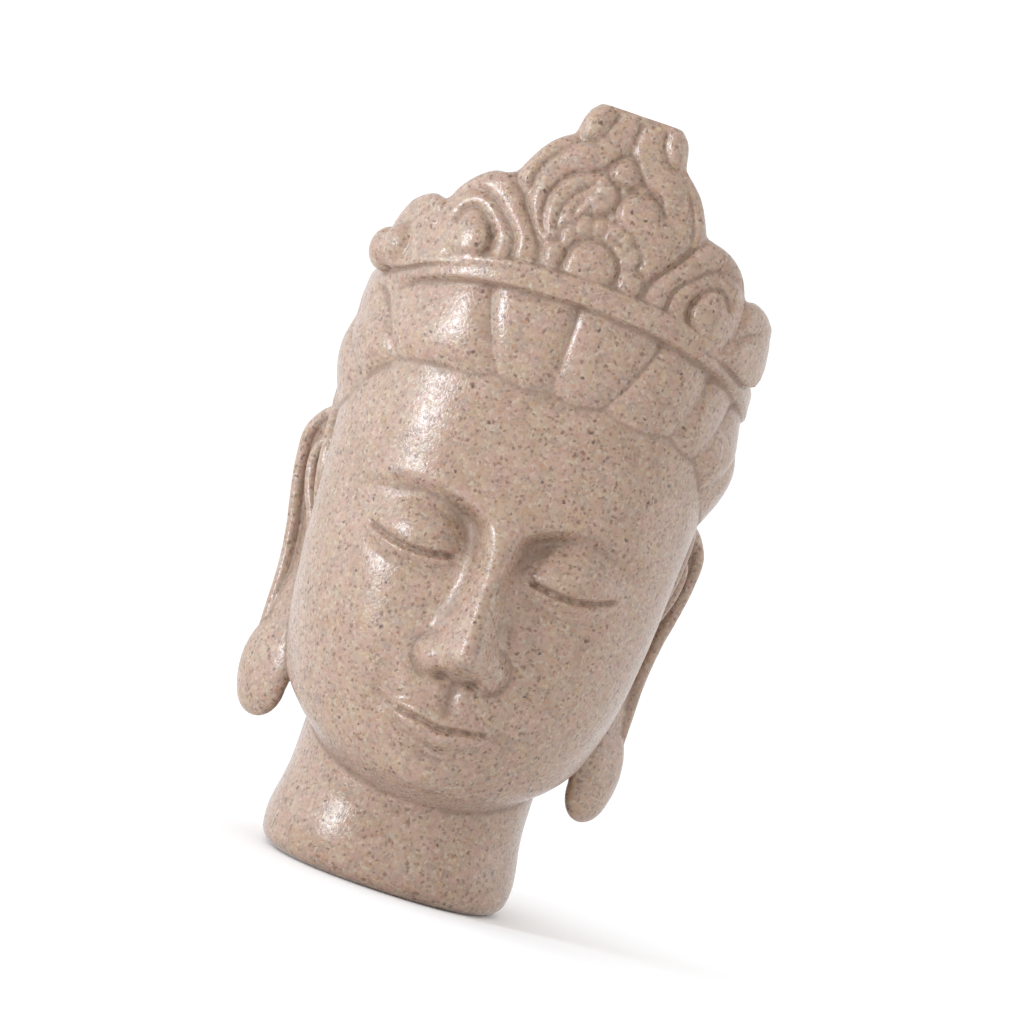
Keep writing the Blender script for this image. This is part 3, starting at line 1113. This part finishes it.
def shifted(seed):
    """The place moved aside, so that patterns don't repeat one another."""
    return vector_math("ADD", stirred, {1: (seed, seed, seed)})


def noise(scale, detail=2.0, roughness=0.5, seed=0.0):
    """Soft noise; the scale is in waves to the metre."""
    return place.make("ShaderNodeTexNoise", {"noise_dimensions": "3D"}, {
        "Vector": shifted(seed), "Scale": scale, "Detail": detail, "Roughness": roughness}, "Fac")


def grains(scale, output, seed=0.0):
    """Grains packed side by side, this many to the metre: how far from a grain's middle, or its colour."""
    return place.make("ShaderNodeTexVoronoi", {"voronoi_dimensions": "3D", "feature": "F1"}, {
        "Vector": shifted(seed), "Scale": scale, "Randomness": 1.0}, output)


def share_of(colour):
    """One random number for each grain, from its random colour."""
    return place.make("ShaderNodeSeparateColor", {}, {"Color": colour}, 0)


def specks(under, colour, scale, seed, share, strength):
    """This share of the grains of this size as specks of one colour, soft at the edge."""
    chosen = share_of(grains(scale, "Color", seed)).between(1 - share, 1.005 - share)
    near = 1 - grains(scale, "Distance", seed).between(*SPECK_EDGE)
    return (chosen * near * strength).mixed(under, colour)


ground = noise(300.0, 3.0, 0.6).between(0.42, 0.58).mixed(GROUND_PINK, GROUND_BEIGE)
for colour, waves, roughness, seed, (start, full), strength in MOTTLES:
    mottle = noise(waves, 2.0, roughness, seed).between(start, full) * strength
    ground = mottle.mixed(ground, colour)
grain = share_of(grains(SAND_GRAINS, "Color"))
grain_near = 1 - grains(SAND_GRAINS, "Distance").between(*SAND_EDGE)
sand = grain.make("ShaderNodeValToRGB", {"stops": SAND_COLOURS}, {"Fac": grain})
tint = (SAND_LEAST + grain_near * SAND_MORE).mixed(ground, sand)
for colour, size, seed, share, strength in SPECKS:
    tint = specks(tint, colour, size, seed, share, strength)
deep = hollow_map.between(0.60, 0.95)
tint = (deep * HOLLOW_STRENGTH).mixed(tint, HOLLOW_TINT)

shine = VARNISH_ROUGHNESS + noise(420.0) * UNEVEN_ROUGHNESS + grain_near * GRAIN_ROUGHNESS
shine = shine + deep * HOLLOW_ROUGHNESS
bumps = noise(620.0, 3.0, 0.6, 5.7) * 0.7 + grain_near * 0.3
relief = place.make("ShaderNodeBump", {}, {
    "Strength": 0.6, "Distance": METRE * BUMP_HEIGHT, "Height": bumps}, "Normal")
for name, signal in (("Base Color", tint), ("Roughness", shine), ("Normal", relief)):
    resin.node_tree.links.new(signal.socket, shader.inputs[name])

casting.data.materials.clear()
casting.data.materials.append(resin)
casting.data.polygons.foreach_set("use_smooth", [True] * len(casting.data.polygons))
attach(casting, "root")
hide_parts("buddha_head")


# The stage: a pale floor under the head and soft daylight white all round, with one tall softbox at
# the viewer's left. The camera is level with the face, a little to its right, and leans over, so
# that the head stands aslant in the picture. Lengths here are in metres.
FLOOR_COLOUR = (0.97, 0.97, 0.97, 1.0)
FLOOR_RADIUS = 3.0
FLOOR_DROP = 0.00005
DAYLIGHT = 1.09
# Each softbox as its place, width, height, watts and colour
SOFTBOXES = {
    "tall_softbox": ((-0.62, -0.42, 0.21), 0.10, 0.32, 3.4, (0.84, 0.92, 1.0)),
    "wide_softbox": ((-0.75, 0.05, 0.25), 0.7, 0.8, 2.1, (0.80, 0.90, 1.0)),
    "side_softbox": ((0.80, 0.10, 0.14), 0.5, 0.8, 0.9, (0.84, 0.92, 1.0)),
}
CAMERA_DISTANCE = 0.613
CAMERA_AZIMUTH = math.radians(-3.0)
CAMERA_LEAN = math.radians(18.5)
CAMERA_ASIDE = 0.0019
CAMERA_HEIGHT = 0.0744
CAMERA_WIDTH = 0.1966

disc = bmesh.new()
bmesh.ops.create_circle(disc, cap_ends=True, radius=FLOOR_RADIUS, segments=96)
floor_mesh = bpy.data.meshes.new("floor")
disc.to_mesh(floor_mesh)
disc.free()
floor = placed("floor", floor_mesh)
floor.location.z = -FLOOR_DROP
pale = bpy.data.materials.new("pale_floor")
coated(pale, {"Base Color": FLOOR_COLOUR, "Roughness": 0.9, "Specular IOR Level": 0.1})
floor_mesh.materials.append(pale)

world = bpy.data.worlds.new("daylight")
world.use_nodes = True
sky = world.node_tree.nodes["Background"].inputs
sky["Color"].default_value = (1.0, 1.0, 1.0, 1.0)
sky["Strength"].default_value = DAYLIGHT
bpy.context.scene.world = world

for name, (stand, width, height, watts, colour) in SOFTBOXES.items():
    lamp = bpy.data.lights.new(name, "AREA")
    lamp.shape = "RECTANGLE"
    lamp.size, lamp.size_y = width, height
    lamp.energy, lamp.color = watts, colour
    softbox = placed(name, lamp)
    softbox.location = stand
    to_head = Vector((0, 0, METRE * HEAD_HEIGHT / 2)) - Vector(stand)
    softbox.rotation_euler = to_head.to_track_quat("-Z", "Y").to_euler()

camera = placed("camera", bpy.data.cameras.new("camera"))
aside = Vector((math.cos(CAMERA_AZIMUTH), math.sin(CAMERA_AZIMUTH), 0))
towards = Vector((-math.sin(CAMERA_AZIMUTH), math.cos(CAMERA_AZIMUTH), 0))
upwards = Vector((0, 0, 1))
right = aside * math.cos(CAMERA_LEAN) + upwards * math.sin(CAMERA_LEAN)
top = upwards * math.cos(CAMERA_LEAN) - aside * math.sin(CAMERA_LEAN)
camera.matrix_world = Matrix((right, top, -towards)).transposed().to_4x4()
camera.location = aside * CAMERA_ASIDE + upwards * CAMERA_HEIGHT - towards * CAMERA_DISTANCE
camera.data.lens = camera.data.sensor_width * CAMERA_DISTANCE / CAMERA_WIDTH
camera.data.clip_start = 0.01
bpy.context.scene.camera = camera
bpy.context.scene.view_settings.view_transform = "Standard"

bpy.context.view_layer.update()
